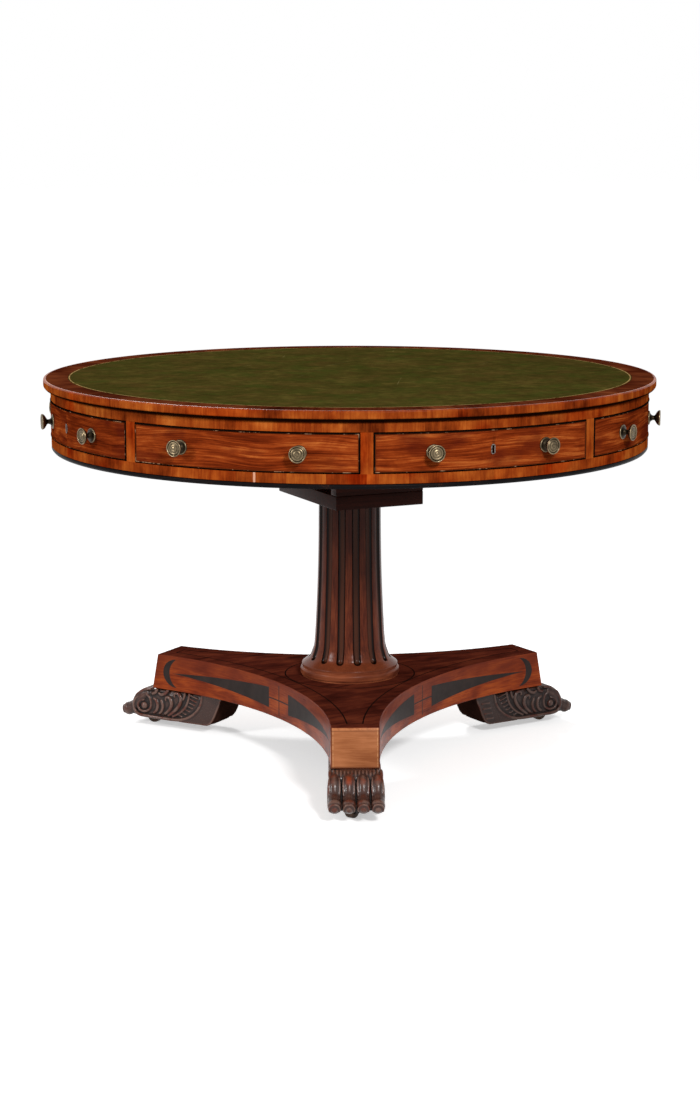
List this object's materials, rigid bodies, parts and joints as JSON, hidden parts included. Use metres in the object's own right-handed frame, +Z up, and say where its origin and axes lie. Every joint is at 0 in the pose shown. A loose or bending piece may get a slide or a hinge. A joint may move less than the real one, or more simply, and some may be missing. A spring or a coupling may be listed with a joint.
{
  "type": "drum table",
  "caption": "Round revolving library table with drawers in its frieze, on a fluted column, a three-sided platform and carved paw feet with hidden casters.",
  "frame": {"origin": "on the floor below the axis of the column", "axes": "+Z up, drawer 1 pulls out along -Y, drawer 2 along +X, drawer 3 along +Y, drawer 4 along -X"},
  "size_m": [1.1942, 1.1942, 0.76],
  "materials": {
    "crossbanded_mahogany": "polished veneer, grain across the band",
    "figured_mahogany": "polished, figured veneer",
    "ebonised_wood": "polished black",
    "leather": "olive green with a gilt line",
    "oak": "bare, planed",
    "dark_mahogany": "polished, aged",
    "platform_mahogany": "polished veneer",
    "carved_mahogany": "carved, worn dark finish",
    "knob_brass": "turned, aged",
    "lock_brass": "plain, aged",
    "iron": "plain, dark",
    "caster_brass": "plain, aged"
  },
  "bodies": {
    "base": {"column": "dark_mahogany", "column_ring": "dark_mahogany", "pivot_plate": "caster_brass", "pivot_pin": "iron", "pivot_nut": "iron", "platform": "platform_mahogany", "platform_inlays": "ebonised_wood", "platform_stringing": "ebonised_wood", "paw_foot_1": "carved_mahogany", "paw_foot_2": "carved_mahogany", "paw_foot_3": "carved_mahogany", "caster_plates": "caster_brass"},
    "drum": {"top_board": "oak", "top_crossbanding": "crossbanded_mahogany", "edge_crossbanding": "crossbanded_mahogany", "leather_inset": "leather", "frieze_top_rail": "crossbanded_mahogany", "frieze_bottom_rail": "crossbanded_mahogany", "frieze_stiles": "crossbanded_mahogany", "dummy_fronts": "figured_mahogany", "dummy_cockbeads": "ebonised_wood", "dummy_knobs": "knob_brass", "base_moulding": "ebonised_wood", "drum_floor": "oak", "drawer_guides": "oak", "drawer_stops": "oak", "glue_blocks": "oak", "bearers": "dark_mahogany", "pivot_board": "dark_mahogany", "bearer_screws": "iron"},
    "drawer_1": {"drawer_1_front": "figured_mahogany", "drawer_1_box": "oak", "drawer_1_cockbead": "ebonised_wood", "drawer_1_knobs": "knob_brass", "drawer_1_lock": "lock_brass"},
    "drawer_1_bolt": {"drawer_1_lock_bolt": "lock_brass"},
    "drawer_2": {"drawer_2_front": "figured_mahogany", "drawer_2_box": "oak", "drawer_2_cockbead": "ebonised_wood", "drawer_2_knobs": "knob_brass", "drawer_2_lock": "lock_brass"},
    "drawer_2_bolt": {"drawer_2_lock_bolt": "lock_brass"},
    "drawer_3": {"drawer_3_front": "figured_mahogany", "drawer_3_box": "oak", "drawer_3_cockbead": "ebonised_wood", "drawer_3_knobs": "knob_brass", "drawer_3_lock": "lock_brass"},
    "drawer_3_bolt": {"drawer_3_lock_bolt": "lock_brass"},
    "drawer_4": {"drawer_4_front": "figured_mahogany", "drawer_4_box": "oak", "drawer_4_cockbead": "ebonised_wood", "drawer_4_knobs": "knob_brass", "drawer_4_lock": "lock_brass"},
    "drawer_4_bolt": {"drawer_4_lock_bolt": "lock_brass"},
    "caster_1_swivel": {"caster_1_fork": "iron"},
    "caster_1_wheel_body": {"caster_1_wheel": "caster_brass"},
    "caster_2_swivel": {"caster_2_fork": "iron"},
    "caster_2_wheel_body": {"caster_2_wheel": "caster_brass"},
    "caster_3_swivel": {"caster_3_fork": "iron"},
    "caster_3_wheel_body": {"caster_3_wheel": "caster_brass"}
  },
  "joints": [
    {"name": "top_turn", "type": "hinge", "parent": "base", "child": "drum", "pos_m": [0, 0, 0.515], "axis": [0, 0, 1], "continuous": true},
    {"name": "drawer_1_slide", "type": "slide", "parent": "drum", "child": "drawer_1", "axis": [0, -1, 0], "range_m": [0, 0.25]},
    {"name": "drawer_1_lock_slide", "type": "slide", "parent": "drawer_1", "child": "drawer_1_bolt", "axis": [0, 0, 1], "range_m": [0, 0.006]},
    {"name": "drawer_2_slide", "type": "slide", "parent": "drum", "child": "drawer_2", "axis": [1, 0, 0], "range_m": [0, 0.25]},
    {"name": "drawer_2_lock_slide", "type": "slide", "parent": "drawer_2", "child": "drawer_2_bolt", "axis": [0, 0, 1], "range_m": [0, 0.006]},
    {"name": "drawer_3_slide", "type": "slide", "parent": "drum", "child": "drawer_3", "axis": [0, 1, 0], "range_m": [0, 0.25]},
    {"name": "drawer_3_lock_slide", "type": "slide", "parent": "drawer_3", "child": "drawer_3_bolt", "axis": [0, 0, 1], "range_m": [0, 0.006]},
    {"name": "drawer_4_slide", "type": "slide", "parent": "drum", "child": "drawer_4", "axis": [-1, 0, 0], "range_m": [0, 0.25]},
    {"name": "drawer_4_lock_slide", "type": "slide", "parent": "drawer_4", "child": "drawer_4_bolt", "axis": [0, 0, 1], "range_m": [0, 0.006]},
    {"name": "caster_1_turn", "type": "hinge", "parent": "base", "child": "caster_1_swivel", "pos_m": [-0.18557, -0.41544, 0.04], "axis": [0, 0, 1], "continuous": true},
    {"name": "caster_1_roll", "type": "hinge", "parent": "caster_1_swivel", "child": "caster_1_wheel_body", "pos_m": [-0.1961, -0.42307, 0.016], "axis": [0.5868, -0.8097, 0], "continuous": true},
    {"name": "caster_2_turn", "type": "hinge", "parent": "base", "child": "caster_2_swivel", "pos_m": [0.45256, 0.04701, 0.04], "axis": [0, 0, 1], "continuous": true},
    {"name": "caster_2_roll", "type": "hinge", "parent": "caster_2_swivel", "child": "caster_2_wheel_body", "pos_m": [0.4655, 0.04835, 0.016], "axis": [-0.1033, 0.9946, 0], "continuous": true},
    {"name": "caster_3_turn", "type": "hinge", "parent": "base", "child": "caster_3_swivel", "pos_m": [-0.26699, 0.36843, 0.04], "axis": [0, 0, 1], "continuous": true},
    {"name": "caster_3_roll", "type": "hinge", "parent": "caster_3_swivel", "child": "caster_3_wheel_body", "pos_m": [-0.27462, 0.37896, 0.016], "axis": [-0.8097, -0.5868, 0], "continuous": true}
  ]
}
